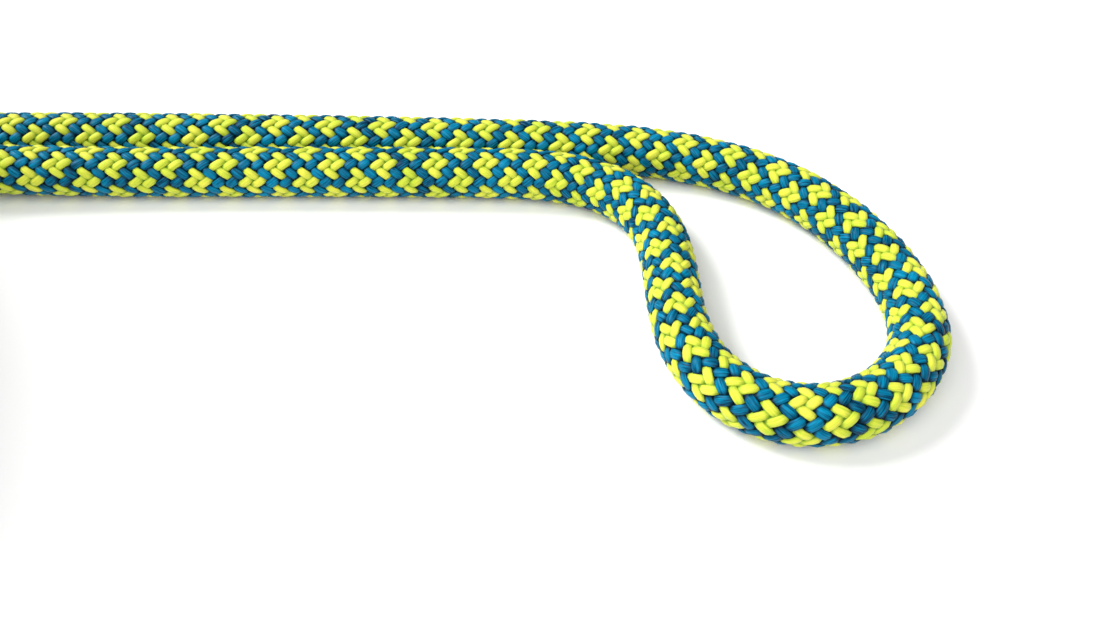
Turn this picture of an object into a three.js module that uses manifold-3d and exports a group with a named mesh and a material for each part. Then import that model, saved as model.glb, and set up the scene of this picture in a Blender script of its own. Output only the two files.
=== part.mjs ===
// An arborist climbing rope: 25 m of 12 mm double-braid line, laid out with one open bight.
// What isn't laid out is wound into a tied hank in line with the two runs of the bight.
// Millimetres, +Z up. The rope and the hank lie on the plane z = 0.
// While it is built, x = 0 and y = 0 is the centre of the hank's right-hand fold. At the end
// the whole group is shifted so that the origin is the bottom centre of everything.

import * as THREE from "three";
import { mergeVertices } from "three/addons/utils/BufferGeometryUtils.js";
import Module from "manifold-3d";

const wasm = await Module();
wasm.setup();

// Driving dimensions
const ROPE_LENGTH = 25000;
const ROPE_R = 6; // the rope is 12 mm across
const ROPE_D = 2 * ROPE_R;
const COVER_WALL = 1.6; // the braided cover's thickness
const GAP = 0.3; // between pieces that touch on the real rope

const FOLD_R = 3 * ROPE_D; // the tightest turn of the hank, at the rope's axis
const TURNS_WIDE = 4; // turns side by side in a full layer of the hank
const LAYERS = 9; // full layers and nested ones, a turn narrower, by turns
const LAYER_RISE = ROPE_D * Math.sin(Math.PI / 3);

const SLEEVE_LENGTH = 35; // the shrink sleeve on each end of the rope
const SLEEVE_WALL = 0.9;
const SLEEVE_SETBACK = 1; // how far the cut end stands out of its sleeve
const TAIL_LENGTH = 80; // the straight part of the far end, which lies on top of the hank

const TIE_WIDTH = 25;
const TIE_THICKNESS = 1.6;
const TIE_PROUD = 0.8; // how far a tie stands out of the bundle that it squeezes
const TIE_CORNER = 9;

const COVER_SIDES = 12;
const CORE_SIDES = 8;
const SLEEVE_SIDES = 24;
const ROUTE_STEPS = 80;
const TAIL_STEPS = 14;
const TAIL_FOLD_STEPS = 8;
const HANK_FOLD_SEGMENTS = 12;
const TIE_CORNER_SEGMENTS = 4;
const LENGTH_DIVISIONS = 2000; // for measuring the open route
const MERGE_DISTANCE = 1e-3;

// Worked out from those
const HANK_INNER_R = FOLD_R - ROPE_R;
const HANK_OUTER_R = FOLD_R + ROPE_D * (TURNS_WIDE - 1) + ROPE_R;
const HANK_HEIGHT = ROPE_D + LAYER_RISE * (LAYERS - 1);
const CORE_R = ROPE_R - COVER_WALL - GAP;
const SLEEVE_R = ROPE_R + GAP + SLEEVE_WALL; // also the height of the near end's axis
const EXIT_Y = FOLD_R + ROPE_D * (TURNS_WIDE - 1); // the outermost turn of the bottom layer
const TAIL_Y = FOLD_R + ROPE_R; // in the groove between the two innermost turns
const TAIL_Z = ROPE_R + LAYER_RISE * LAYERS;

// The rope's axis outside the hank: out of the bottom layer's outermost turn, along the rear
// run, round the bight, back along the front run, and up into the near end's sleeve.
const OPEN_ROUTE = [
  [GAP, EXIT_Y, ROPE_R],
  [45, 72, ROPE_R],
  [90, 72, ROPE_R],
  [135, 72, ROPE_R],
  [190, 71, ROPE_R],
  [228, 69.7, ROPE_R],
  [250, 68.6, ROPE_R],
  [270, 66.5, ROPE_R],
  [288, 62, ROPE_R],
  [303, 54.5, ROPE_R],
  [314, 44, ROPE_R],
  [321.5, 31, ROPE_R],
  [325.5, 17, ROPE_R],
  [324.6, 2.8, ROPE_R],
  [317.4, -7.5, ROPE_R],
  [308.2, -13.3, ROPE_R],
  [297.9, -14.8, ROPE_R],
  [288.6, -12.2, ROPE_R],
  [281.8, -6.2, ROPE_R],
  [277.7, 2.2, ROPE_R],
  [276.2, 12, ROPE_R],
  [276.1, 21.5, ROPE_R],
  [275.6, 31.3, ROPE_R],
  [273, 41, ROPE_R],
  [267.4, 49.1, ROPE_R],
  [258.6, 54.3, ROPE_R],
  [247, 56.9, ROPE_R],
  [232, 57.6, ROPE_R],
  [190, 58, ROPE_R],
  [150, 58, ROPE_R],
  [126, 58, 6.5],
  [108, 58, SLEEVE_R],
  [89, 58, SLEEVE_R],
  [70, 58, SLEEVE_R],
];

// The far end's climb begins before the fold's middle, at angle 0, and ends short of the leg.
const CLIMB_START = -Math.PI / 4;
const CLIMB_END = 0.35 * Math.PI;
// Its straight part's points, from the fold to the cut end.
const TAIL_X = [-15, -30, SLEEVE_LENGTH - TAIL_LENGTH, -TAIL_LENGTH];

// Geometry helpers

function smoothstep(low, high, value) {
  return THREE.MathUtils.smoothstep(value, low, high);
}

// A closed regular outline with its corners at the given radius.
function ring(radius, sides) {
  const points = [];
  for (let i = 0; i < sides; i++) {
    const angle = (2 * Math.PI * (i + 0.5)) / sides;
    points.push(new THREE.Vector2(radius * Math.cos(angle), radius * Math.sin(angle)));
  }
  return points;
}

// A tube, or a rod when bore is 0, along a curve.
function tubeAlong(curve, radius, bore, sides, steps) {
  const section = new THREE.Shape(ring(radius, sides));
  if (bore > 0) section.holes.push(new THREE.Path(ring(bore, sides)));
  return new THREE.ExtrudeGeometry(section, { steps, extrudePath: curve, bevelEnabled: false });
}

// A rectangle in the Y-Z plane with round corners, as a shape or as a hole.
function roundedRectangle(path, yLow, yHigh, zLow, zHigh, corner) {
  path.moveTo(yLow + corner, zLow);
  path.lineTo(yHigh - corner, zLow);
  path.absarc(yHigh - corner, zLow + corner, corner, -Math.PI / 2, 0, false);
  path.lineTo(yHigh, zHigh - corner);
  path.absarc(yHigh - corner, zHigh - corner, corner, 0, Math.PI / 2, false);
  path.lineTo(yLow + corner, zHigh);
  path.absarc(yLow + corner, zHigh - corner, corner, Math.PI / 2, Math.PI, false);
  path.lineTo(yLow, zLow + corner);
  path.absarc(yLow + corner, zLow + corner, corner, Math.PI, 1.5 * Math.PI, false);
  return path;
}

function toSolid(geometry) {
  const bare = geometry.clone();
  bare.deleteAttribute("normal");
  bare.deleteAttribute("uv");
  const merged = mergeVertices(bare, MERGE_DISTANCE);
  const mesh = new wasm.Mesh({
    numProp: 3,
    vertProperties: merged.attributes.position.array,
    triVerts: new Uint32Array(merged.index.array),
  });
  return new wasm.Manifold(mesh);
}

function toGeometry(solid) {
  const mesh = solid.getMesh();
  const geometry = new THREE.BufferGeometry();
  geometry.setAttribute("position", new THREE.BufferAttribute(mesh.vertProperties, 3));
  geometry.setIndex(new THREE.BufferAttribute(mesh.triVerts, 1));
  return geometry;
}

// The hank's winding

// Each turn's radius at its folds and the height of its axis, from the bottom layer's
// outermost turn inwards, then outwards through the nested layer that lies on it, and so on.
function windingTurns() {
  const turns = [];
  for (let layer = 0; layer < LAYERS; layer++) {
    const nested = layer % 2;
    const count = TURNS_WIDE - nested;
    for (let k = 0; k < count; k++) {
      const place = nested ? k + 0.5 : count - 1 - k;
      turns.push({ r: FOLD_R + ROPE_D * place, z: ROPE_R + LAYER_RISE * layer });
    }
  }
  return turns;
}

// The leg length that puts the whole rope into the hank and the open route.
function legLength(openLength, turns) {
  let folds = 0;
  for (const turn of turns) folds += 2 * Math.PI * turn.r;
  return (ROPE_LENGTH - openLength - TAIL_LENGTH - folds) / (2 * turns.length);
}

// The last climb, over the second half of the right-hand fold: from the top layer's innermost
// turn into the groove above it, where the rope's far end lies along the rear leg.
function tailCurve() {
  const turns = windingTurns();
  const last = turns[turns.length - 1];
  const points = [];
  for (let i = 0; i <= TAIL_FOLD_STEPS; i++) {
    const angle = ((Math.PI / 2) * i) / TAIL_FOLD_STEPS;
    const shift = smoothstep(0, Math.PI / 2, angle);
    const swing = Math.sin(2 * angle); // inwards, to pass the turn that it climbs over
    const r = last.r + ROPE_R * (shift - swing * swing);
    const z = last.z + (TAIL_Z - last.z) * smoothstep(CLIMB_START, CLIMB_END, angle);
    points.push(new THREE.Vector3(r * Math.cos(angle), r * Math.sin(angle), z));
  }
  for (const x of TAIL_X) points.push(new THREE.Vector3(x, TAIL_Y, TAIL_Z));
  return new THREE.CatmullRomCurve3(points);
}

// Sub-parts

function hankSolid(leg) {
  const outline = new THREE.Shape();
  outline.absarc(0, 0, HANK_OUTER_R, -Math.PI / 2, Math.PI / 2, false);
  outline.absarc(-leg, 0, HANK_OUTER_R, Math.PI / 2, 1.5 * Math.PI, false);
  const middle = new THREE.Path();
  middle.absarc(0, 0, HANK_INNER_R, -Math.PI / 2, Math.PI / 2, false);
  middle.absarc(-leg, 0, HANK_INNER_R, Math.PI / 2, 1.5 * Math.PI, false);
  outline.holes.push(middle);
  const block = new THREE.ExtrudeGeometry(outline, {
    depth: HANK_HEIGHT,
    bevelEnabled: false,
    curveSegments: HANK_FOLD_SEGMENTS,
  });
  return toSolid(block);
}

// The corner of the right-hand fold's bottom layer that the open route leaves through.
function exitChannel() {
  const reach = HANK_OUTER_R;
  const low = EXIT_Y - ROPE_R - GAP;
  const high = EXIT_Y + ROPE_R + ROPE_D;
  const top = ROPE_D + GAP;
  const channel = new THREE.BoxGeometry(reach, high - low, 2 * top);
  channel.translate(reach / 2, (low + high) / 2, 0);
  return channel;
}

// A band round one leg of the hank, flush with the surface that the hank lies on. With grow 0
// it is the tie, and with grow 1 the larger band that is cut out of the hank to make its room.
function tieBand(side, leg, grow) {
  const yNear = HANK_INNER_R;
  const yFar = HANK_OUTER_R;
  const [yLow, yHigh] = side > 0 ? [yNear, yFar] : [-yFar, -yNear];
  const out = TIE_PROUD + grow * ROPE_R;
  const inset = TIE_THICKNESS - TIE_PROUD + grow * GAP;
  const bottom = -grow * ROPE_R;
  const band = roundedRectangle(
    new THREE.Shape(),
    yLow - out,
    yHigh + out,
    bottom,
    HANK_HEIGHT + out,
    TIE_CORNER,
  );
  const hole = roundedRectangle(
    new THREE.Path(),
    yLow + inset,
    yHigh - inset,
    TIE_THICKNESS + grow * GAP,
    HANK_HEIGHT - inset,
    TIE_CORNER - TIE_THICKNESS,
  );
  band.holes.push(hole);
  const width = TIE_WIDTH + 2 * grow * GAP;
  const geometry = new THREE.ExtrudeGeometry(band, {
    depth: width,
    bevelEnabled: false,
    curveSegments: TIE_CORNER_SEGMENTS,
  });
  // The outline's x and y become Y and Z, and the band's width runs along X.
  const turn = new THREE.Matrix4().makeBasis(
    new THREE.Vector3(0, 1, 0),
    new THREE.Vector3(0, 0, 1),
    new THREE.Vector3(1, 0, 0),
  );
  geometry.applyMatrix4(turn);
  geometry.translate(-leg / 2 - width / 2, 0, 0);
  return geometry;
}

// A shrink sleeve along X, from xTip towards +X.
function sleeve(xTip, y, z) {
  const bore = (ROPE_R + GAP) / Math.cos(Math.PI / SLEEVE_SIDES);
  const section = new THREE.Shape(ring(SLEEVE_R, SLEEVE_SIDES));
  section.holes.push(new THREE.Path(ring(bore, SLEEVE_SIDES)));
  const geometry = new THREE.ExtrudeGeometry(section, {
    depth: SLEEVE_LENGTH,
    bevelEnabled: false,
  });
  geometry.rotateY(Math.PI / 2);
  geometry.translate(xTip + SLEEVE_SETBACK, y, z);
  return geometry;
}

// Materials

const coverMaterial = { color: 0xdbe357, roughness: 0.55, metalness: 0 };
const coreMaterial = { color: 0xe9e7e0, roughness: 0.7, metalness: 0 };
const sleeveMaterial = { color: 0x17181a, roughness: 0.45, metalness: 0 };
const tieMaterial = { color: 0x1c1d20, roughness: 0.8, metalness: 0 };

function addMesh(group, name, geometry, look) {
  const mesh = new THREE.Mesh(geometry, new THREE.MeshStandardMaterial(look));
  mesh.name = name;
  group.add(mesh);
}

// The whole rope

function buildRope() {
  const group = new THREE.Group();
  const openCurve = new THREE.CatmullRomCurve3(OPEN_ROUTE.map((p) => new THREE.Vector3(...p)));
  openCurve.arcLengthDivisions = LENGTH_DIVISIONS;
  const tail = tailCurve();
  const leg = legLength(openCurve.getLength(), windingTurns());
  const bore = (CORE_R + GAP) / Math.cos(Math.PI / COVER_SIDES);

  const cover = tubeAlong(openCurve, ROPE_R, bore, COVER_SIDES, ROUTE_STEPS);
  addMesh(group, "rope_cover", cover, coverMaterial);
  const core = tubeAlong(openCurve, CORE_R, 0, CORE_SIDES, ROUTE_STEPS);
  addMesh(group, "rope_core", core, coreMaterial);

  const tailCover = tubeAlong(tail, ROPE_R, bore, COVER_SIDES, TAIL_STEPS);
  addMesh(group, "tail_cover", tailCover, coverMaterial);
  addMesh(group, "tail_core", tubeAlong(tail, CORE_R, 0, CORE_SIDES, TAIL_STEPS), coreMaterial);

  let hank = hankSolid(leg);
  hank = hank.subtract(toSolid(exitChannel()));
  const tailRoom = tubeAlong(tail, ROPE_R + 2 * GAP, 0, COVER_SIDES, TAIL_STEPS);
  hank = hank.subtract(toSolid(tailRoom));
  const sleeveRoom = new THREE.CylinderGeometry(
    SLEEVE_R + 2 * GAP,
    SLEEVE_R + 2 * GAP,
    SLEEVE_LENGTH + ROPE_R,
    SLEEVE_SIDES,
  );
  sleeveRoom.rotateZ(Math.PI / 2);
  sleeveRoom.translate(-TAIL_LENGTH + SLEEVE_LENGTH / 2, TAIL_Y, TAIL_Z);
  hank = hank.subtract(toSolid(sleeveRoom));
  for (const side of [-1, 1]) {
    hank = hank.subtract(toSolid(tieBand(side, leg, 1)));
  }
  addMesh(group, "hank", toGeometry(hank), coverMaterial);

  addMesh(group, "tie_front", tieBand(-1, leg, 0), tieMaterial);
  addMesh(group, "tie_rear", tieBand(1, leg, 0), tieMaterial);

  const [tipX, tipY, tipZ] = OPEN_ROUTE[OPEN_ROUTE.length - 1];
  addMesh(group, "end_sleeve_near", sleeve(tipX, tipY, tipZ), sleeveMaterial);
  addMesh(group, "end_sleeve_far", sleeve(-TAIL_LENGTH, TAIL_Y, TAIL_Z), sleeveMaterial);

  const box = new THREE.Box3().setFromObject(group, true);
  group.position.set(-(box.min.x + box.max.x) / 2, -(box.min.y + box.max.y) / 2, 0);
  return group;
}

export default buildRope();
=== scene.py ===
"""An arborist climbing rope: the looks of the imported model, built round its frame.

Everything is in metres, in the part's own frame. The rope is 12 mm double braid: 32 strands, 16
each way, go round it two over and two under, and their colours make small pinwheels.
"""

import math

import bpy
import numpy as np
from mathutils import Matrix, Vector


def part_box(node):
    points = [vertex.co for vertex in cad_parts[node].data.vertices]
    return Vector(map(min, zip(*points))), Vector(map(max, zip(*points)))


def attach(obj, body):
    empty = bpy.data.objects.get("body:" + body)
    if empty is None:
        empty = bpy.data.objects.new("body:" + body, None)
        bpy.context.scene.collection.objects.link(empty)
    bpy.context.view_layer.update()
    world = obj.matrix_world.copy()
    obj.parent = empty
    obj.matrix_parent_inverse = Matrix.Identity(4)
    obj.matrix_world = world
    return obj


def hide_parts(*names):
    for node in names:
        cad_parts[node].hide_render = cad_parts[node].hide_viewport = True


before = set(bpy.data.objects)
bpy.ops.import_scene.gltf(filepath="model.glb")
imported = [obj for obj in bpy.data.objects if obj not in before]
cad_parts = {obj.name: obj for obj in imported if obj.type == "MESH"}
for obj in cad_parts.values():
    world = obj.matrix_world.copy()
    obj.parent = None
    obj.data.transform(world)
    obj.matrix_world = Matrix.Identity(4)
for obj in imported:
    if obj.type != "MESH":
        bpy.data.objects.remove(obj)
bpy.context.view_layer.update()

MM = 0.001

# ---------------------------------------------------------------- the rope's sizes, as in CAD

ROPE_R = 6.0 * MM
ROPE_D = 2 * ROPE_R
FOLD_R = 3 * ROPE_D
TURNS_WIDE = 4
LAYERS = 9
LAYER_RISE = ROPE_D * math.sin(math.pi / 3)
TAIL_LENGTH = 80 * MM
SLEEVE_LENGTH = 35 * MM
SLEEVE_SETBACK = 1 * MM
HANK_OUTER_R = FOLD_R + ROPE_D * (TURNS_WIDE - 1) + ROPE_R

hank_low, hank_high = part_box("hank")
FOLD_X = hank_high[0] - HANK_OUTER_R  # the centre of the right-hand fold
LEG = hank_high[0] - hank_low[0] - 2 * HANK_OUTER_R

# ---------------------------------------------------------------- camera

CAMERA_PITCH = math.radians(47.3)  # below the horizon
CAMERA_LENS = 29.45  # on a sensor 36 mm wide
CAMERA_FROM_FOLD = (250 * MM, -114.5 * MM, 143.7 * MM)


def make_camera():
    data = bpy.data.cameras.new("camera")
    data.sensor_fit = "HORIZONTAL"
    data.sensor_width = 36
    data.lens = CAMERA_LENS
    data.clip_start = 0.01
    camera = bpy.data.objects.new("camera", data)
    x, y, z = CAMERA_FROM_FOLD
    camera.location = (FOLD_X + x, y, z)
    camera.rotation_euler = (math.pi / 2 - CAMERA_PITCH, 0, 0)
    bpy.context.collection.objects.link(camera)
    bpy.context.scene.camera = camera


make_camera()

# ---------------------------------------------------------------- the rope's axis

# Outside the hank, in millimetres from the right-hand fold's centre: the rear run, the bight,
# the front run, and up into the near end's sleeve.
SLEEVE_Z = 7.2
OPEN_ROUTE = [
    (0.3, 72, 6),
    (45, 72, 6),
    (90, 72, 6),
    (135, 72, 6),
    (190, 71, 6),
    (228, 69.7, 6),
    (250, 68.6, 6),
    (270, 66.5, 6),
    (288, 62, 6),
    (303, 54.5, 6),
    (314, 44, 6),
    (321.5, 31, 6),
    (325.5, 17, 6),
    (324.6, 2.8, 6),
    (317.4, -7.5, 6),
    (308.2, -13.3, 6),
    (297.9, -14.8, 6),
    (288.6, -12.2, 6),
    (281.8, -6.2, 6),
    (277.7, 2.2, 6),
    (276.2, 12, 6),
    (276.1, 21.5, 6),
    (275.6, 31.3, 6),
    (273, 41, 6),
    (267.4, 49.1, 6),
    (258.6, 54.3, 6),
    (247, 56.9, 6),
    (232, 57.6, 6),
    (190, 58, 6),
    (150, 58, 6),
    (126, 58, 6.5),
    (108, 58, SLEEVE_Z),
    (89, 58, SLEEVE_Z),
    (70, 58, SLEEVE_Z),
]
PATH_STEP = 1.5 * MM
ROUTE_EASING = 20  # passes that round off the open route's small kinks

# Where a turn changes places with the next, as shares of the way round the right-hand fold.
SHIFT = (0.5, 1)  # sideways
RISE_INSIDE = (0.25, 0.85)  # up to the next layer, from the innermost turn
RISE_OUTSIDE = (0.55, 1)  # and from the outermost one

TIE_HALF = 12.5 * MM  # half a tie's width
TIE_REACH = 32 * MM  # how far past a tie its pull goes
TIE_LIFT = 1.7 * MM  # by its thickness, at the bottom
TIE_SQUASH = 3 * MM  # how much less high the stack is inside it
TIE_PULL = 0.06  # the share by which the turns are nearer to the leg's middle


def smoothstep(low, high, value):
    t = np.clip((value - low) / (high - low), 0, 1)
    return t * t * (3 - 2 * t)


def unit(vectors):
    return vectors / np.linalg.norm(vectors, axis=-1, keepdims=True)


def through(points, steps=12):
    """A centripetal Catmull-Rom curve through points, as three.js makes it."""
    p = np.array(points, float)
    p = np.vstack([2 * p[0] - p[1], p, 2 * p[-1] - p[-2]])
    out = []
    for i in range(1, len(p) - 2):
        p0, p1, p2, p3 = p[i - 1 : i + 3]
        t1 = np.linalg.norm(p1 - p0) ** 0.5
        t2 = t1 + np.linalg.norm(p2 - p1) ** 0.5
        t3 = t2 + np.linalg.norm(p3 - p2) ** 0.5
        t = np.linspace(t1, t2, steps, endpoint=False)[:, None]
        a1 = (t1 - t) / t1 * p0 + t / t1 * p1
        a2 = (t2 - t) / (t2 - t1) * p1 + (t - t1) / (t2 - t1) * p2
        a3 = (t3 - t) / (t3 - t2) * p2 + (t - t2) / (t3 - t2) * p3
        b1 = (t2 - t) / t2 * a1 + t / t2 * a2
        b2 = (t3 - t) / (t3 - t1) * a2 + (t - t1) / (t3 - t1) * a3
        out.append((t2 - t) / (t2 - t1) * b1 + (t - t1) / (t2 - t1) * b2)
    return np.vstack(out + [p[-2]])


def along(points):
    """The distance along a line at each of its points."""
    return np.r_[0, np.cumsum(np.linalg.norm(np.diff(points, axis=0), axis=1))]


def spaced(points, step):
    """A line with its points a step apart."""
    s = along(points)
    at = np.linspace(0, s[-1], int(round(s[-1] / step)) + 1)
    return np.column_stack([np.interp(at, s, points[:, k]) for k in range(3)])


def eased(points, passes):
    """A line with its small kinks smoothed out and its ends kept."""
    points = points.copy()
    for _ in range(passes):
        points[1:-1] = points[1:-1] / 2 + (points[:-2] + points[2:]) / 4
    return points


def winding_turns():
    """(fold radius, height) of each turn, from the bottom layer's outermost turn inwards."""
    turns = []
    for layer in range(LAYERS):
        nested = layer % 2
        count = TURNS_WIDE - nested
        for k in range(count):
            place = k + 0.5 if nested else count - 1 - k
            turns.append((FOLD_R + ROPE_D * place, ROPE_R + LAYER_RISE * layer))
    return turns


def climb(here, after, t):
    """(fold radius, height) on the right-hand fold, from one turn to the next."""
    (r0, z0), (r1, z1) = here, after
    radius = r0 + (r1 - r0) * smoothstep(*SHIFT, t)
    swing = ROPE_R * np.sin(2 * math.pi * (t - SHIFT[0])) ** 2 * (t > SHIFT[0])
    if z1 == z0:
        return radius, z0 + 0 * t
    if r0 < FOLD_R + ROPE_D:  # up from the inside, swinging into the middle of the hank
        return radius - swing, z0 + (z1 - z0) * smoothstep(*RISE_INSIDE, t)
    return radius + swing, z0 + (z1 - z0) * smoothstep(*RISE_OUTSIDE, t)


def hank_axis():
    """The rope's axis through the hank, from the open route inwards."""
    turns = winding_turns()
    tail = (FOLD_R + ROPE_R, ROPE_R + LAYER_RISE * LAYERS)
    leg_t = np.linspace(0, 1, int(LEG / PATH_STEP))[:-1]
    points = []

    def add(x, y, z):
        points.append(np.column_stack(np.broadcast_arrays(x, y, z)))

    for here, after in zip(turns, turns[1:] + [tail]):
        r, z = here
        fold_t = np.linspace(0, 1, int(math.pi * r / PATH_STEP))[:-1]
        add(-LEG * leg_t, r, z)
        angle = math.pi / 2 + math.pi * fold_t
        add(-LEG + r * np.cos(angle), r * np.sin(angle), z)
        add(-LEG + LEG * leg_t, -r, z)
        angle = math.pi * (fold_t - 0.5)
        radius, height = climb(here, after, fold_t)
        add(radius * np.cos(angle), radius * np.sin(angle), height)
    tail_t = np.linspace(0, 1, int(TAIL_LENGTH / PATH_STEP))
    add(-TAIL_LENGTH * tail_t, *tail)
    return np.vstack(points)


def squeezed(points):
    """The ties pull the legs in a little, and lift them by their own thickness."""
    p = points.copy()
    off = np.abs(p[:, 0] + LEG / 2)
    pull = 1 - smoothstep(TIE_HALF, TIE_HALF + TIE_REACH, off)
    top = ROPE_R + LAYER_RISE * (LAYERS - 1)
    height = np.clip((p[:, 2] - ROPE_R) / (top - ROPE_R), 0, 1)
    p[:, 2] += pull * (TIE_LIFT - TIE_SQUASH * height)
    middle = (FOLD_R + HANK_OUTER_R - ROPE_R) / 2
    y = np.abs(p[:, 1])
    p[:, 1] = np.sign(p[:, 1]) * (y - pull * (y - middle) * TIE_PULL)
    return p


def whole_axis():
    """The rope's axis from its far end to its near end, and each point's distance from where the
    rope leaves the hank."""
    hank = squeezed(hank_axis())[::-1]
    route = eased(spaced(through(OPEN_ROUTE) * MM, PATH_STEP), ROUTE_EASING)
    points = np.vstack([hank, route[1:]])
    points[:, 0] += FOLD_X
    s = along(points)
    return points, s - s[len(hank) - 1]


axis, axis_s = whole_axis()
tangent = unit(np.gradient(axis, axis=0))
right = unit(np.cross(tangent, (0.0, 0.0, 1.0)))
down = np.cross(tangent, right)
FAR_S, NEAR_S = axis_s[0], axis_s[-1]


def on_axis(s):
    """The axis's point and the two directions across it at distances s."""
    def at(values):
        return np.stack([np.interp(s, axis_s, values[:, k]) for k in range(3)], -1)

    return at(axis), unit(at(right)), unit(at(down))


def outward(side, under, angle):
    """The directions out from the axis at angles round it."""
    return side * np.cos(angle)[..., None] + under * np.sin(angle)[..., None]


# ---------------------------------------------------------------- the braid

# Places on the cover are in crossings: p round the rope and q along it. A strand that climbs
# right-handed keeps (p - q) / 2 = i, and a left-handed one (p + q) / 2 = j.
STRANDS = 16  # each way
ROUND_STEP = 2 * math.pi / (2 * STRANDS)
CROSSING = 1.649 * MM  # along a straight stretch
ROUND_PHASE = 1.5
REPEAT = 4  # crossings in one over-and-under wave
WAVE_CENTRE = 0.5
STRAND_MEAN_R = 4.84 * MM
STRAND_WAVE = 0.6 * MM
STRAND_HALF_WIDTH = 1.12 * MM
STRAND_HALF_THICK = 0.66 * MM
STRAND_FLATNESS = 0.45  # how far the tops and bottoms of its waves are flattened
STRAND_NARROWING = 0.08  # from the middle of a wave to its bottom
STRAND_SIDES = 7
RINGS_PER_WAVE = 10
WANDER = ((2.9 * MM, 5.1), (4.7 * MM, 3.3), (11 * MM, 1))  # lengths, and how each strand differs
UNEVEN_LIFT = 0.12  # of the wave's height
UNEVEN_ROUND = 0.1  # crossings
UNEVEN_WIDTH = 0.05
PLUMP = {True: 0.96, False: 1.08}  # a blue strand is a little wider than a yellow one
DARKEST_SHADE_R = 5.2 * MM  # where a strand's painted shade is darkest, down among the others

# Round the bight the weave packs closer, which adds crossings along the rope between two
# distances from the hank, and it rolls round the rope, most at the bight's bottom and a little
# back on both sides of it.
PACKED_FROM = 210 * MM
PACKED_TO = 580 * MM
PACKED_CROSSINGS = 24.5
ROLL_AT = 412 * MM
ROLL_SPREAD = 38 * MM
ROLL_CROSSINGS = 2.5


def drift(s):
    """The weave's drift at distances s, in crossings round and along the rope."""
    x = (s - ROLL_AT) / ROLL_SPREAD
    roll = ROLL_CROSSINGS * (1 - x * x) * np.exp(-x * x / 2)
    return roll, PACKED_CROSSINGS * smoothstep(PACKED_FROM, PACKED_TO, s)


def right_is_yellow(i):
    return np.mod(i, 2) == 1


def left_is_yellow(j):
    return np.mod(j, 4) < 2


def angle_of(p):
    return (p - ROUND_PHASE) * ROUND_STEP


def grid_faces(rings, sides):
    """Quads over a tube of rings, wound outwards for a ring that turns right-handed about the
    direction that the rings follow."""
    ring = np.arange(rings - 1)[:, None] * sides
    side = np.arange(sides)[None, :]
    after = (side + 1) % sides
    quads = np.stack([ring + side, ring + after, ring + sides + after, ring + sides + side], -1)
    return quads.reshape(-1, 4)


def uneven(s, number, seed):
    """A slow wander between -1 and 1 along a strand, different for each strand and seed."""
    start = 1.7 * number + seed
    return sum(np.sin(s / length + turn * start) for length, turn in WANDER) / len(WANDER)


def strand_mesh(hand, number, s, plump):
    """One strand of the cover over distances s: its points, fibre coordinates and painted shade.
    """
    drift_round, drift_along = drift(s)
    strand = hand * number
    p = 2 * number + hand * (s / CROSSING + drift_along)
    wave = hand * np.cos(2 * math.pi * (p - WAVE_CENTRE) / REPEAT)
    lift = wave * (1 + STRAND_FLATNESS - STRAND_FLATNESS * wave * wave)
    lift += UNEVEN_LIFT * uneven(s, strand, 1)
    centre, side, under = on_axis(s)
    angle = angle_of(p - drift_round + UNEVEN_ROUND * uneven(s, strand, 2))
    out = outward(side, under, angle)
    middle = centre + out * (STRAND_MEAN_R + STRAND_WAVE * lift)[:, None]
    run = unit(np.gradient(middle, axis=0))
    out = unit(out - run * (out * run).sum(1, keepdims=True))
    across = np.cross(run, out)
    turn = 2 * math.pi * (np.arange(STRAND_SIDES) + 0.5) / STRAND_SIDES + math.pi
    share = 1 - STRAND_NARROWING * (1 - wave) + UNEVEN_WIDTH * uneven(s, strand, 3)
    wide = plump * STRAND_HALF_WIDTH * share
    points = (
        middle[:, None, :]
        + across[:, None, :] * (np.sin(turn)[None, :] * wide[:, None])[..., None]
        + out[:, None, :] * (np.cos(turn) * STRAND_HALF_THICK)[None, :, None]
    )
    fibre = np.zeros((len(s), STRAND_SIDES, 3))
    fibre[..., 0] = (along(middle) / MM)[:, None]
    fibre[..., 1] = np.arange(STRAND_SIDES)[None, :] / STRAND_SIDES
    fibre[..., 2] = number + (20 if hand < 0 else 0)  # no two strands have the same lines
    # How deep each point lies among the other strands, for the painted shade in its colour.
    radius = np.linalg.norm(points - centre[:, None, :], axis=2)
    shade_depth = np.clip((ROPE_R - radius) / (ROPE_R - DARKEST_SHADE_R), 0, 1)
    return points.reshape(-1, 3), fibre.reshape(-1, 3), shade_depth.ravel()


def make_mesh(name, points, faces, material, fibre=None, shade_depth=None):
    """A smooth mesh object, whose faces are all triangles or all quads."""
    mesh = bpy.data.meshes.new(name)
    mesh.vertices.add(len(points))
    mesh.vertices.foreach_set("co", np.asarray(points, np.float32).ravel())
    mesh.loops.add(faces.size)
    mesh.loops.foreach_set("vertex_index", faces.astype(np.int32).ravel())
    mesh.polygons.add(len(faces))
    starts = np.arange(0, faces.size, faces.shape[1], dtype=np.int32)
    mesh.polygons.foreach_set("loop_start", starts)
    mesh.update(calc_edges=True)
    mesh.polygons.foreach_set("use_smooth", np.full(len(mesh.polygons), True))
    if fibre is not None:
        layer = mesh.attributes.new("fibre", "FLOAT_VECTOR", "POINT")
        layer.data.foreach_set("vector", np.asarray(fibre, np.float32).ravel())
    # The per-point depth below sets how much painted shade the yarn materials lay on.
    if shade_depth is not None:
        layer = mesh.attributes.new("shade_depth", "FLOAT", "POINT")
        layer.data.foreach_set("value", np.asarray(shade_depth, np.float32).ravel())
    mesh.materials.append(material)
    piece = bpy.data.objects.new(name, mesh)
    bpy.context.collection.objects.link(piece)
    return piece


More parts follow.
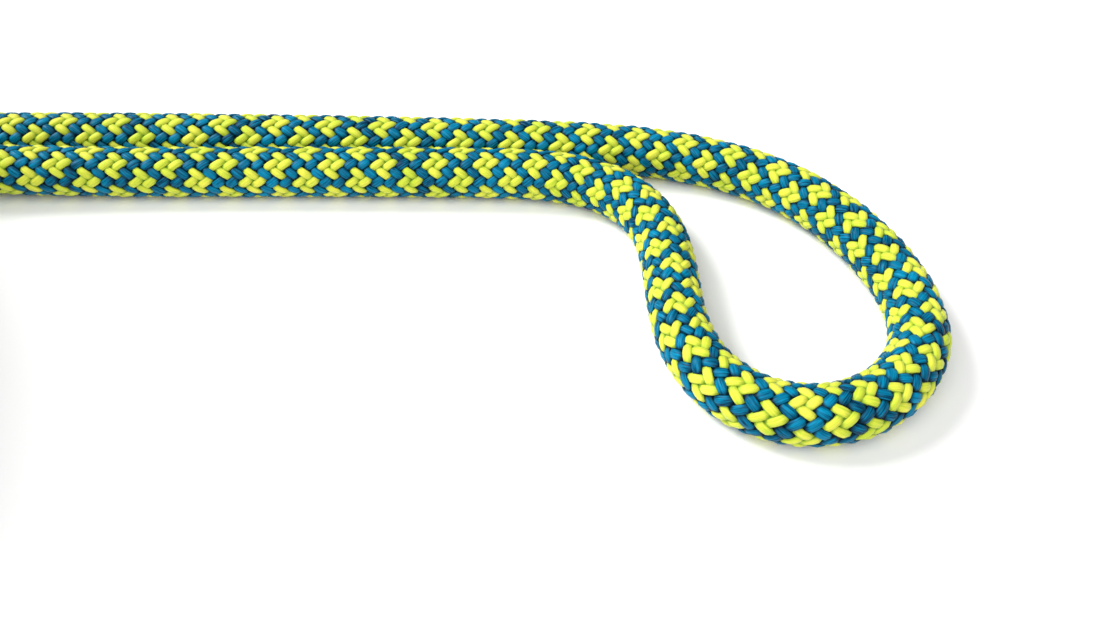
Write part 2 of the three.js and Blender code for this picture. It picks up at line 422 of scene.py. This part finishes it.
def braid(name, stretches, hand, yellow, material):
    """The strands of one hand and colour over each stretch of distances, in full."""
    is_yellow = right_is_yellow if hand > 0 else left_is_yellow
    points, faces, fibres, shade_depths, count = [], [], [], [], 0
    for low, high in stretches:
        rings = int((high - low) / CROSSING / REPEAT * RINGS_PER_WAVE)
        s = np.linspace(low, high, rings)
        quads = grid_faces(rings, STRAND_SIDES)
        for number in range(STRANDS):
            if bool(is_yellow(number)) != yellow:
                continue
            p, fibre, shade_depth = strand_mesh(hand, number, s, PLUMP[yellow])
            points.append(p)
            fibres.append(fibre)
            shade_depths.append(shade_depth)
            faces.append(quads + count)
            count += len(p)
    return make_mesh(
        name,
        np.vstack(points),
        np.vstack(faces),
        material,
        np.vstack(fibres),
        np.concatenate(shade_depths),
    )


# A strand's stretch over the others, as a low lobe: (along, across, radius) in crossings, half
# strand widths and millimetres. The lobes make the cover of the hank's turns.
LOBE = [
    (-1.25, 0, 5.15),
    (-0.75, 1, 5.2),
    (0.75, 1, 5.2),
    (1.25, 0, 5.15),
    (0.75, -1, 5.2),
    (-0.75, -1, 5.2),
    (-0.55, 0, 6.05),
    (0.55, 0, 6.05),
]
LOBE_PLUMP = 1.12
# Painted shade at each lobe point: darker at its ends and sides, where it dives under.
LOBE_SHADE = [0.6, 0.4, 0.4, 0.6, 0.4, 0.4, 0, 0]
LOBE_FACES = [
    (0, 1, 6), (1, 2, 7), (1, 7, 6), (2, 3, 7),
    (3, 4, 7), (4, 5, 6), (4, 6, 7), (5, 0, 6),
]
FIRST_LOBE = {1: (0.5, 0.5), -1: (2.5, 1.5)}  # its p and q, for each hand
FULL_BEFORE_EXIT = LEG / 2  # the strands are made in full from under the rear tie
FULL_AT_TAIL = TAIL_LENGTH + 20 * MM  # and at the far end
LEG_SPARE = 0.8 * ROPE_D  # how far in from the outermost turn a turn still shows
FOLD_SPARE = 1.6 * ROPE_D  # and on the fold where the turns change places
LEAST_FACING = -0.35  # the cosine at which the cover turns away from the hank's outside


def shows(s, angle):
    """Whether the cover at an angle round the rope is on the outside of the hank."""
    centre, _, _ = on_axis(s)
    x, y, z = np.moveaxis(centre, -1, 0)
    r = np.hypot(np.clip(x - FOLD_X, 0, None) + np.clip(FOLD_X - LEG - x, 0, None), y)
    spare = np.where(x > FOLD_X, FOLD_SPARE, LEG_SPARE)
    outer = r > HANK_OUTER_R - ROPE_R - spare
    inner = r < FOLD_R + spare
    top = z > ROPE_R + LAYER_RISE * (LAYERS - 2)
    return (
        outer & (-np.cos(angle) > LEAST_FACING)
        | inner & (np.cos(angle) > LEAST_FACING)
        | top & (-np.sin(angle) > LEAST_FACING)
    )


def lobes(name, hand, yellow, material):
    """The cover's strands of one hand and colour on the outside of the hank."""
    low = (FAR_S + FULL_AT_TAIL) / CROSSING
    high = -FULL_BEFORE_EXIT / CROSSING
    k = np.arange(math.ceil(low / 2), math.floor(high / 2))
    m = np.arange(STRANDS // 2)
    shape = np.array(LOBE)
    first_p, first_q = FIRST_LOBE[hand]
    q = (2 * k + first_q)[:, None] + 0 * m[None, :]
    p = (4 * m + first_p)[None, :] + 0 * k[:, None]
    number = np.rint((p - hand * q) / 2)
    is_yellow = right_is_yellow(number) if hand > 0 else left_is_yellow(number)
    kept = (is_yellow == yellow) & shows(q * CROSSING, angle_of(p))
    p, q = p[kept][:, None], q[kept][:, None]
    u, v, radius = shape.T
    v = v * LOBE_PLUMP
    centre, side, under = on_axis((q + u - hand * v / 2) * CROSSING)
    out = outward(side, under, angle_of(p + hand * u + v / 2))
    points = centre + out * (radius * MM)[None, :, None]
    fibre = np.zeros(points.shape)  # neighbouring lobes have different lines
    fibre[..., 0] = 2 * u[None, :] + 7.3 * np.mod(q, 11)
    fibre[..., 1] = v[None, :] / 8
    fibre[..., 2] = np.mod(q * 3 + p, 17)
    faces = np.array(LOBE_FACES)[None] + len(LOBE) * np.arange(len(points))[:, None, None]
    # Painted shade, darker towards each lobe's edges.
    shade_depth = np.tile(LOBE_SHADE, len(points))
    return make_mesh(
        name, points.reshape(-1, 3), faces.reshape(-1, 3), material, fibre.reshape(-1, 3), shade_depth
    )


# ---------------------------------------------------------------- materials

FIBRE_STRETCH = (0.35, 26.0, 3.7)  # of the lines' noise: along a strand, across it, by strand
PATCH_SCALE = 90.0  # of the noise that varies the colour slowly from place to place
LINES_SHARE = 0.6  # of the lines in the colour; the patches have the rest
DARK_LEVEL, LIGHT_LEVEL = 0.36, 0.62  # of that noise
LINE_HEIGHT = 0.08 * MM


def new_material(name):
    material = bpy.data.materials.new(name)
    material.use_nodes = True
    nodes = material.node_tree.nodes
    return material, nodes, material.node_tree.links, nodes["Principled BSDF"]


def yarn_material(name, shade_colour, dark, light, full_shade_depth, roughness, sheen, gloss_level):
    """Filament yarn: fine lines along the strand, a soft gloss, and a little colour drift. Its
    colour has painted shade where the strand goes down among the others, darkest from the given
    depth on."""
    material, nodes, links, shader = new_material(name)
    fibre = nodes.new("ShaderNodeAttribute")
    fibre.attribute_name = "fibre"
    stretch = nodes.new("ShaderNodeVectorMath")
    stretch.operation = "MULTIPLY"
    stretch.inputs[1].default_value = FIBRE_STRETCH
    links.new(fibre.outputs["Vector"], stretch.inputs[0])
    lines = nodes.new("ShaderNodeTexNoise")
    lines.inputs["Scale"].default_value = 1.0
    lines.inputs["Detail"].default_value = 2.0
    links.new(stretch.outputs["Vector"], lines.inputs["Vector"])
    patches = nodes.new("ShaderNodeTexNoise")
    patches.inputs["Scale"].default_value = PATCH_SCALE
    patches.inputs["Detail"].default_value = 2.0
    where = nodes.new("ShaderNodeTexCoord")
    links.new(where.outputs["Object"], patches.inputs["Vector"])
    both = nodes.new("ShaderNodeMath")
    both.operation = "MULTIPLY_ADD"
    both.inputs[1].default_value = LINES_SHARE
    links.new(lines.outputs["Fac"], both.inputs[0])
    part = nodes.new("ShaderNodeMath")
    part.operation = "MULTIPLY"
    part.inputs[1].default_value = 1 - LINES_SHARE
    links.new(patches.outputs["Fac"], part.inputs[0])
    links.new(part.outputs[0], both.inputs[2])
    ramp = nodes.new("ShaderNodeValToRGB")
    ramp.color_ramp.elements[0].position = DARK_LEVEL
    ramp.color_ramp.elements[0].color = (*dark, 1)
    ramp.color_ramp.elements[1].position = LIGHT_LEVEL
    ramp.color_ramp.elements[1].color = (*light, 1)
    links.new(both.outputs[0], ramp.inputs["Fac"])
    # Painted shade: the colour is mixed towards a dark shade colour by how deep the yarn lies.
    shade_attribute = nodes.new("ShaderNodeAttribute")
    shade_attribute.attribute_name = "shade_depth"
    fade = nodes.new("ShaderNodeMapRange")
    fade.interpolation_type = "SMOOTHSTEP"
    fade.inputs["From Max"].default_value = full_shade_depth
    links.new(shade_attribute.outputs["Fac"], fade.inputs["Value"])
    mix = nodes.new("ShaderNodeMix")
    mix.data_type = "RGBA"
    links.new(fade.outputs["Result"], mix.inputs["Factor"])
    links.new(ramp.outputs["Color"], mix.inputs["A"])
    mix.inputs["B"].default_value = (*shade_colour, 1)
    links.new(mix.outputs["Result"], shader.inputs["Base Color"])
    gloss = nodes.new("ShaderNodeMapRange")
    gloss.inputs["To Min"].default_value = roughness - 0.08
    gloss.inputs["To Max"].default_value = roughness + 0.1
    links.new(lines.outputs["Fac"], gloss.inputs["Value"])
    links.new(gloss.outputs["Result"], shader.inputs["Roughness"])
    bump = nodes.new("ShaderNodeBump")
    bump.inputs["Strength"].default_value = 0.35
    bump.inputs["Distance"].default_value = LINE_HEIGHT
    links.new(lines.outputs["Fac"], bump.inputs["Height"])
    links.new(bump.outputs["Normal"], shader.inputs["Normal"])
    shader.inputs["Sheen Weight"].default_value = sheen
    shader.inputs["Sheen Roughness"].default_value = 0.4
    shader.inputs["Specular IOR Level"].default_value = gloss_level
    return material


# Each yarn's first colour is its painted shade, where it lies deep among the other strands.
yellow_yarn = yarn_material(
    "yarn_yellow",
    shade_colour=(0.18, 0.33, 0.02),
    dark=(0.46, 0.61, 0.03),
    light=(0.79, 0.755, 0.08),
    full_shade_depth=0.75,
    roughness=0.5,
    sheen=0.15,
    gloss_level=0.15,
)
blue_yarn = yarn_material(
    "yarn_blue",
    shade_colour=(0.0, 0.008, 0.018),
    dark=(0.0, 0.022, 0.06),
    light=(0.0, 0.235, 0.42),
    full_shade_depth=0.48,
    roughness=0.4,
    sheen=0.0,
    gloss_level=0.08,
)
# The braid's inner layers, coloured near black as painted shade in the gaps between the strands.
under_yarn_shade = yarn_material(
    "yarn_under_shade",
    shade_colour=(0.0, 0.006, 0.012),
    dark=(0.0, 0.010, 0.02),
    light=(0.001, 0.02, 0.035),
    full_shade_depth=0.65,
    roughness=0.8,
    sheen=0.0,
    gloss_level=0.1,
)


def plain_material(name, stops, scale, roughness, bump_height):
    """A noise-mottled material. stops are its ramp's (position, colour) pairs."""
    material, nodes, links, shader = new_material(name)
    where = nodes.new("ShaderNodeTexCoord")
    noise = nodes.new("ShaderNodeTexNoise")
    noise.inputs["Scale"].default_value = scale
    noise.inputs["Detail"].default_value = 4.0
    links.new(where.outputs["Object"], noise.inputs["Vector"])
    ramp = nodes.new("ShaderNodeValToRGB")
    ramp.color_ramp.elements[0].position, colour = stops[0]
    ramp.color_ramp.elements[0].color = (*colour, 1)
    ramp.color_ramp.elements[1].position, colour = stops[-1]
    ramp.color_ramp.elements[1].color = (*colour, 1)
    for position, colour in stops[1:-1]:
        ramp.color_ramp.elements.new(position).color = (*colour, 1)
    links.new(noise.outputs["Fac"], ramp.inputs["Fac"])
    links.new(ramp.outputs["Color"], shader.inputs["Base Color"])
    gloss = nodes.new("ShaderNodeMapRange")
    gloss.inputs["To Min"].default_value = roughness - 0.12
    gloss.inputs["To Max"].default_value = roughness + 0.12
    links.new(noise.outputs["Fac"], gloss.inputs["Value"])
    links.new(gloss.outputs["Result"], shader.inputs["Roughness"])
    bump = nodes.new("ShaderNodeBump")
    bump.inputs["Strength"].default_value = 0.5
    bump.inputs["Distance"].default_value = bump_height
    links.new(noise.outputs["Fac"], bump.inputs["Height"])
    links.new(bump.outputs["Normal"], shader.inputs["Normal"])
    return material


sleeve_black = plain_material(
    "shrink_tube",
    [(0.3, (0.006, 0.006, 0.007)), (0.7, (0.013, 0.0135, 0.015))],
    scale=420,
    roughness=0.4,
    bump_height=0.04 * MM,
)
fused_yarn = plain_material(
    "fused_yarn",
    [(0.36, (0.01, 0.05, 0.06)), (0.5, (0.16, 0.2, 0.03)), (0.62, (0.42, 0.42, 0.2))],
    scale=900,
    roughness=0.4,
    bump_height=0.1 * MM,
)
# Its first colour is painted shade in the hollows of the weave.
web_black = yarn_material(
    "webbing",
    shade_colour=(0.002, 0.002, 0.0025),
    dark=(0.007, 0.0075, 0.009),
    light=(0.022, 0.023, 0.027),
    full_shade_depth=0.65,
    roughness=0.75,
    sheen=0.05,
    gloss_level=0.2,
)
thread_grey = plain_material(
    "thread",
    [(0.3, (0.30, 0.31, 0.32)), (0.7, (0.44, 0.45, 0.46))],
    scale=2500,
    roughness=0.6,
    bump_height=0.05 * MM,
)

# ---------------------------------------------------------------- the rope's pieces

BASE_SIDES = 12
BASE_STEP = 5 * MM
BASE_R_IN_STRANDS = 4.4 * MM
BASE_R_IN_LOBES = 5.35 * MM
SHORT_OF_END = 1.4 * MM  # where the strands stop inside the fused ends


def base_tube():
    """The inner layers of the braid all along the rope: what shows in its gaps, near black as
    painted shade.
    """
    s = np.linspace(FAR_S, NEAR_S, int((NEAR_S - FAR_S) / BASE_STEP))
    centre, side, under = on_axis(s)
    full = (s > -FULL_BEFORE_EXIT) | (s < FAR_S + FULL_AT_TAIL)
    radius = np.where(full, BASE_R_IN_STRANDS, BASE_R_IN_LOBES)
    turn = 2 * math.pi * np.arange(BASE_SIDES)[None, :] / BASE_SIDES
    out = outward(side[:, None, :], under[:, None, :], turn)
    points = centre[:, None, :] + out * radius[:, None, None]
    fibre = np.zeros(points.shape)
    fibre[..., 0] = (s / MM)[:, None]
    fibre[..., 1] = (np.arange(BASE_SIDES) / 2)[None, :]
    faces = grid_faces(len(s), BASE_SIDES)
    tube = make_mesh("rope", points.reshape(-1, 3), faces, under_yarn_shade, fibre.reshape(-1, 3))
    return tube, centre


rope, rope_line = base_tube()
spans = [
    (FAR_S + SHORT_OF_END, FAR_S + FULL_AT_TAIL),
    (-FULL_BEFORE_EXIT, NEAR_S - SHORT_OF_END),
]
cover = [
    braid("braid_yellow_right", spans, 1, True, yellow_yarn),
    braid("braid_yellow_left", spans, -1, True, yellow_yarn),
    braid("braid_blue_right", spans, 1, False, blue_yarn),
    braid("braid_blue_left", spans, -1, False, blue_yarn),
    lobes("hank_yellow_right", 1, True, yellow_yarn),
    lobes("hank_yellow_left", -1, True, yellow_yarn),
    lobes("hank_blue_right", 1, False, blue_yarn),
    lobes("hank_blue_left", -1, False, blue_yarn),
]

# ---------------------------------------------------------------- the ends' sleeves

AROUND = 96  # points round a sleeve or a fused end

SLEEVE_RINGS = 60
SLEEVE_OUTER_R = 7.0 * MM
SLEEVE_INNER_R = 6.25 * MM
SLEEVE_OUTSIDE = 6.6 * MM  # the strands show through beyond this radius
SLEEVE_PULLS_IN = 0.35 * MM  # at its ends
SLEEVE_PULLS_OVER = 0.8 * MM
SLEEVE_LIP = 0.12 * MM
SLEEVE_RELIEF = 0.15 * MM

# A fused end's rounded edge, as (distance back from its face, radius) in millimetres.
FUSED_EDGE = [(1.8, 5.3), (1.3, 5.9), (0.7, 6.1), (0.25, 5.9), (0.05, 5.5)]
FUSED_FACE_R = 5.6
# The relief on its face, as (height, radius, spread) in millimetres.
COVER_RIDGES = (0.16, 5.0, 0.6)
CORE_RIDGES = (0.2, 2.4, 1.0)
FUSED_GAP = (-0.3, 4.0, 0.3)


def turned(name, profile, material, relief):
    """A surface round the rope's axis from a profile of (distance, radius). relief gives each
    point's step along the axis and outwards, from its angle, distance and radius."""
    s, r = np.array(profile).T
    centre, side, under = on_axis(s)
    forward = unit(np.cross(side, under))[:, None, :]
    angle = 2 * math.pi * np.arange(AROUND)[None, :] / AROUND
    s, r = s[:, None], r[:, None]
    ahead, swell = relief(angle, s, r)
    out = outward(side[:, None, :], under[:, None, :], angle)
    level = 0 * angle + 0 * r
    points = centre[:, None, :] + out * (r + swell + level)[..., None]
    points = points + forward * (ahead + level)[..., None]
    return make_mesh(name, points.reshape(-1, 3), grid_faces(len(s), AROUND), material)


def sleeve(name, low, high):
    """A shrunk tube over distances low to high: it follows the strands a little and pulls in at
    its ends."""
    run = np.linspace(low, high, SLEEVE_RINGS)
    end = np.minimum(run - low, high - run)
    outer = SLEEVE_OUTER_R - SLEEVE_PULLS_IN * np.exp(-end / SLEEVE_PULLS_OVER)
    half_thick = (SLEEVE_OUTER_R - SLEEVE_INNER_R) / 2
    profile = [(s, r) for s, r in zip(run, outer)]
    profile += [(high + SLEEVE_LIP, outer[-1] - half_thick)]
    profile += [(s, SLEEVE_INNER_R) for s in run[::-1]]
    profile += [(low - SLEEVE_LIP, outer[0] - half_thick), profile[0]]

    def relief(angle, s, r):
        p, q = angle / ROUND_STEP, s / CROSSING
        bumps = np.cos(math.pi * (p - q) / 2) * np.cos(math.pi * (p + q) / 2)
        return 0, SLEEVE_RELIEF * bumps * (r > SLEEVE_OUTSIDE)

    return turned(name, profile, sleeve_black, relief)


def ridge(r, height, middle, spread):
    return height * np.exp(-(((r - middle) / spread) ** 2))


def fused_end(name, s, way):
    """The rope's cut end, melted together: the cover's ring of strands round the core's."""
    shape = FUSED_EDGE + [(0, r) for r in np.linspace(5.1, 0.5, 16)] + [(0, 0.02)]
    profile = [(s - way * back * MM, r * MM) for back, r in shape]

    def relief(angle, s, r):
        r = r / MM
        cover_relief = ridge(r, *COVER_RIDGES) * np.cos(STRANDS * angle)
        core_relief = ridge(r, *CORE_RIDGES) * np.cos(STRANDS / 2 * angle + 1.3 * r)
        height = cover_relief + core_relief + ridge(r, *FUSED_GAP)
        return way * MM * height * (r < FUSED_FACE_R), 0

    return turned(name, profile if way > 0 else profile[::-1], fused_yarn, relief)


near_end = NEAR_S - SLEEVE_SETBACK
far_end = FAR_S + SLEEVE_SETBACK
near_sleeve = sleeve("shrink_sleeve_near", near_end - SLEEVE_LENGTH, near_end)
far_sleeve = sleeve("shrink_sleeve_far", far_end, far_end + SLEEVE_LENGTH)
near_cut = fused_end("fused_end_near", NEAR_S, 1)
far_cut = fused_end("fused_end_far", FAR_S, -1)

# ---------------------------------------------------------------- the hank's ties

TIE_CORNER = 9 * MM
TIE_THICKNESS = 1.6 * MM
CORNER_POINTS = 13
WEB_THICKNESS = 1.2 * MM
WEB_COLUMNS = 40
WEB_STEP = 1.1 * MM
WEB_RELIEF = 0.13 * MM
WEB_SELVEDGE = 0.97  # the share of its half-width where the relief stops
WEB_EDGE_THINNING = 0.55
WEB_CUT_THICKNESS = 0.05  # of its own, at both ends
WEB_OVERLAP = 26 * MM
LAP_GAP = 0.1 * MM
LAP_RAMP = (-7 * MM, 1 * MM)  # where it climbs onto its own start, from where the lap begins
STITCH_LENGTH = 2.0 * MM
STITCH_PITCH = 1.25 * STITCH_LENGTH
STITCH_R = 0.28 * MM
STITCH_RINGS = 7
STITCH_SIDES = 6
STITCH_INSET = 2.5 * MM  # from the edges of the strap
PATCH_LENGTH = 16 * MM


class Band:
    """A hook-and-loop strap round one side of the hank, in a plane square to X: it goes once
    round from the middle of its top and laps over its own start."""

    def __init__(self, node):
        low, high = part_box(node)
        self.x = (low[0] + high[0]) / 2
        self.half_width = (high[0] - low[0]) / 2
        self.middle = np.array([(low[1] + high[1]) / 2, (low[2] + high[2]) / 2])
        corner = TIE_CORNER - TIE_THICKNESS / 2
        half = (np.array(high[1:]) - np.array(low[1:])) / 2 - TIE_THICKNESS / 2
        top = (0, half[1])
        corners = []
        for y, z, start in ((1, 1, 90), (1, -1, 0), (-1, -1, -90), (-1, 1, -180)):
            turn = np.radians(start - np.linspace(0, 90, CORNER_POINTS))
            round_corner = corner * np.column_stack([np.cos(turn), np.sin(turn)])
            corners.append((half - corner) * (y, z) + round_corner)
        self.loop = np.vstack([top, *corners, top])
        self.at = along(self.loop)
        self.length = self.at[-1]
        self.start = -WEB_OVERLAP / 2
        self.finish = self.length + WEB_OVERLAP / 2

    def on_loop(self, s):
        s = np.mod(s, self.length)
        return np.stack([np.interp(s, self.at, self.loop[:, k]) for k in (0, 1)], -1)

    def place(self, s, x, height):
        """The point at a distance round, a distance across and a height off the middle layer."""
        run = unit(self.on_loop(s + MM / 2) - self.on_loop(s - MM / 2))
        out = np.stack([-run[..., 1], run[..., 0]], -1)
        lap = self.finish - WEB_OVERLAP
        over = smoothstep(lap + LAP_RAMP[0], lap + LAP_RAMP[1], s)
        height = height + (WEB_THICKNESS + LAP_GAP) * over
        flat = self.on_loop(s) + out * height[..., None] + self.middle
        return np.stack([self.x + x, flat[..., 0], flat[..., 1]], -1)

    def webbing(self, name):
        """The strap itself, with the herringbone relief of its weave on both faces."""
        rings = int((self.finish - self.start) / WEB_STEP)
        s = np.linspace(self.start, self.finish, rings)[:, None]
        column = np.r_[np.arange(WEB_COLUMNS), np.arange(WEB_COLUMNS)[::-1]][None, :]
        face = np.r_[np.ones(WEB_COLUMNS), -np.ones(WEB_COLUMNS)][None, :]
        across = 2 * column / (WEB_COLUMNS - 1) - 1
        ring = np.arange(rings)[:, None]
        weave = np.cos(math.pi / 2 * (column + ring * np.sign(across)))
        thick = WEB_THICKNESS / 2 * (1 - WEB_EDGE_THINNING * across**10)
        thick = thick + WEB_RELIEF * weave * (np.abs(across) < WEB_SELVEDGE)
        thick = thick * np.where((ring == 0) | (ring == rings - 1), WEB_CUT_THICKNESS, 1)
        points = self.place(s + 0 * across, self.half_width * across + 0 * s, face * thick)
        fibre = np.stack(np.broadcast_arrays(s / MM, column / 8, face), -1)
        return make_mesh(
            name,
            points.reshape(-1, 3),
            grid_faces(rings, 2 * WEB_COLUMNS),
            web_black,
            fibre.reshape(-1, 3),
            0.45 * (1 - weave.ravel()),  # painted shade in the weave's hollows
        )

    def stitch_places(self):
        """Both ends, as (distance round, distance across), of each stitch round the hook patch
        on the lapped end."""
        half = STITCH_LENGTH / 2
        edge, end = self.half_width - STITCH_INSET, self.finish - STITCH_INSET
        places = []
        for s in (end, end - PATCH_LENGTH):
            for x in np.arange(-edge + STITCH_PITCH / 2, edge, STITCH_PITCH):
                places.append(((s, x - half), (s, x + half)))
        for x in (-edge, edge):
            for s in np.arange(end - PATCH_LENGTH + STITCH_PITCH / 2, end, STITCH_PITCH):
                places.append(((s - half, x), (s + half, x)))
        return places

    def stitches(self):
        """The points of every stitch: a small bead that arches out of the strap."""
        t = np.linspace(-1, 1, STITCH_RINGS)
        turn = 2 * math.pi * np.arange(STITCH_SIDES)[None, :] / STITCH_SIDES
        radius = (STITCH_R * np.sqrt(np.clip(1 - t**6, 0.02, 1)))[:, None, None]
        arch = WEB_THICKNESS / 2 + STITCH_R * (0.9 - 1.3 * t**4)
        sewn = []
        for (s0, x0), (s1, x1) in self.stitch_places():
            s = (s0 + s1) / 2 + (s1 - s0) / 2 * t
            x = (x0 + x1) / 2 + (x1 - x0) / 2 * t
            middle = self.place(s, x, arch)
            run = unit(np.gradient(middle, axis=0))
            side = unit(np.cross(run, self.place(s, x, arch + MM) - middle))
            up = np.cross(side, run)
            across = np.cross(run, up)
            out = outward(up[:, None, :], across[:, None, :], turn)
            sewn.append(middle[:, None, :] + radius * out)
        return np.array(sewn)


ties = []
beads = []
for node in ("tie_front", "tie_rear"):
    band = Band(node)
    ties.append(band.webbing(node + "_webbing"))
    beads.append(band.stitches())
beads = np.concatenate(beads)
bead_start = STITCH_RINGS * STITCH_SIDES * np.arange(len(beads))[:, None, None]
bead_faces = grid_faces(STITCH_RINGS, STITCH_SIDES)[None] + bead_start
stitches = make_mesh("tie_stitches", beads.reshape(-1, 3), bead_faces.reshape(-1, 4), thread_grey)

# ---------------------------------------------------------------- floor and light

FLOOR_SIZE = 60.0


def make_floor():
    material, _, _, shader = new_material("floor")
    shader.inputs["Base Color"].default_value = (0.93, 0.93, 0.93, 1)
    shader.inputs["Roughness"].default_value = 0.9
    shader.inputs["Specular IOR Level"].default_value = 0.1
    bpy.ops.mesh.primitive_plane_add(size=FLOOR_SIZE, location=(0, 0, 0))
    floor = bpy.context.object
    floor.name = "floor"
    floor.data.materials.append(material)


def soft_light(name, azimuth, elevation, spread, strength):
    """A broad, even light from an azimuth (0 is +X, 90 is +Y) and an elevation, in degrees like
    its spread."""
    data = bpy.data.lights.new(name, "SUN")
    data.angle = math.radians(spread)
    data.energy = strength
    light = bpy.data.objects.new(name, data)
    light.rotation_euler = (0, math.radians(90 - elevation), math.radians(azimuth))
    bpy.context.collection.objects.link(light)


def make_light():
    world = bpy.data.worlds.new("world")
    world.use_nodes = True
    world.node_tree.nodes["Background"].inputs["Color"].default_value = (1, 1, 1, 1)
    world.node_tree.nodes["Background"].inputs["Strength"].default_value = 0.35
    bpy.context.scene.world = world
    soft_light("key", azimuth=158, elevation=42, spread=24, strength=3.0)
    soft_light("fill", azimuth=245, elevation=55, spread=60, strength=2.2)


make_floor()
make_light()
bpy.context.scene.view_settings.view_transform = "Standard"

# ---------------------------------------------------------------- the pieces on the root body, and the CAD parts hidden

for slot, pieces in (
    ("rope_cover", [rope, *cover]),
    ("rope_core", [near_cut, far_cut]),
    ("shrink_sleeve", [near_sleeve, far_sleeve]),
    ("tie_webbing", [*ties, stitches]),
):
    for piece in pieces:
        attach(piece, "root")
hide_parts("end_sleeve_near")
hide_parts("end_sleeve_far")
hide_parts("tie_front")
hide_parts("tie_rear")
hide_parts("rope_core", "tail_core", "hank", "rope_cover", "tail_cover")
